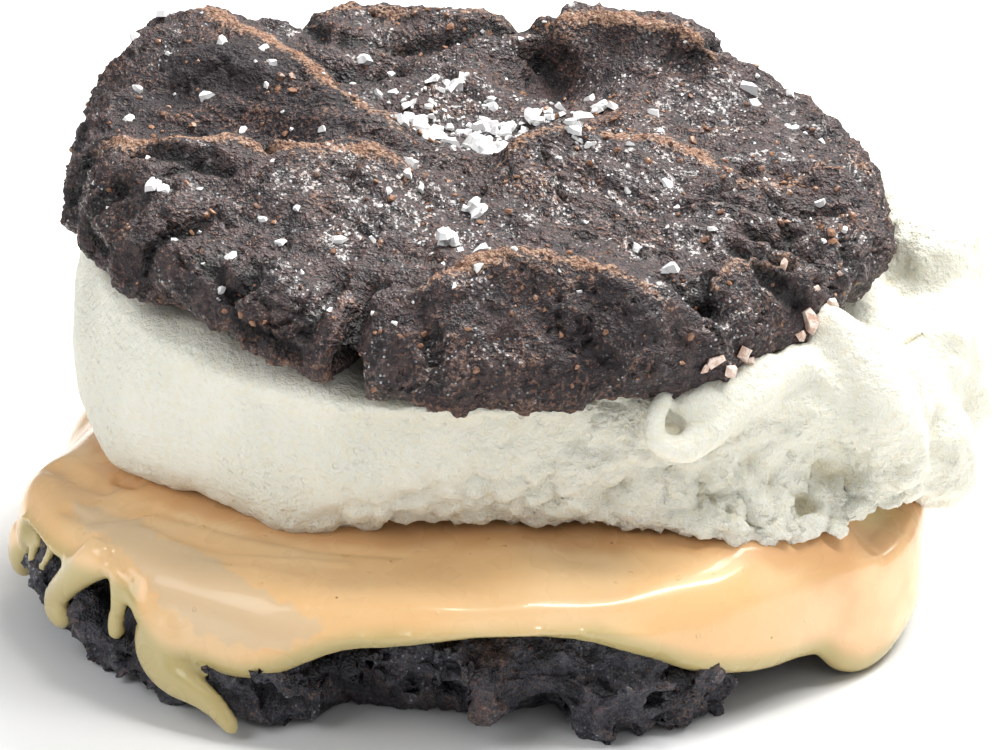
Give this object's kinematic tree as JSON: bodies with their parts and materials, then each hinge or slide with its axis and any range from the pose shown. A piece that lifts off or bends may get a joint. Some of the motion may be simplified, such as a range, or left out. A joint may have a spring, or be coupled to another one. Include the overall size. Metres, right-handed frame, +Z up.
{
  "type": "ice cream sandwich",
  "caption": "Round ice cream sandwich: a thick vanilla ice cream layer on a draped caramel sauce between craggy dark chocolate cookies, with flaky salt on top.",
  "frame": {"origin": "centre of the sandwich's footprint, on the surface that it rests on", "axes": "+Z up through the layers, +X towards the side where the ice cream bulges out, -Y towards the front"},
  "size_m": [0.0996, 0.0927, 0.0494],
  "materials": {
    "bottom_cookie": "baked dark cocoa cookie, almost black, rough and pitted",
    "sauce": "thick glossy peanut caramel sauce, pale tan, smooth and wet",
    "ice_cream": "off-white vanilla ice cream, softly frosted and slightly translucent",
    "top_cookie": "baked dark cocoa cookie, brown-black with tan crests and fine sugar sparkle"
  },
  "bodies": {
    "root": {"bottom_cookie": "bottom_cookie", "sauce": "sauce", "ice_cream": "ice_cream", "top_cookie": "top_cookie"}
  },
  "joints": []
}
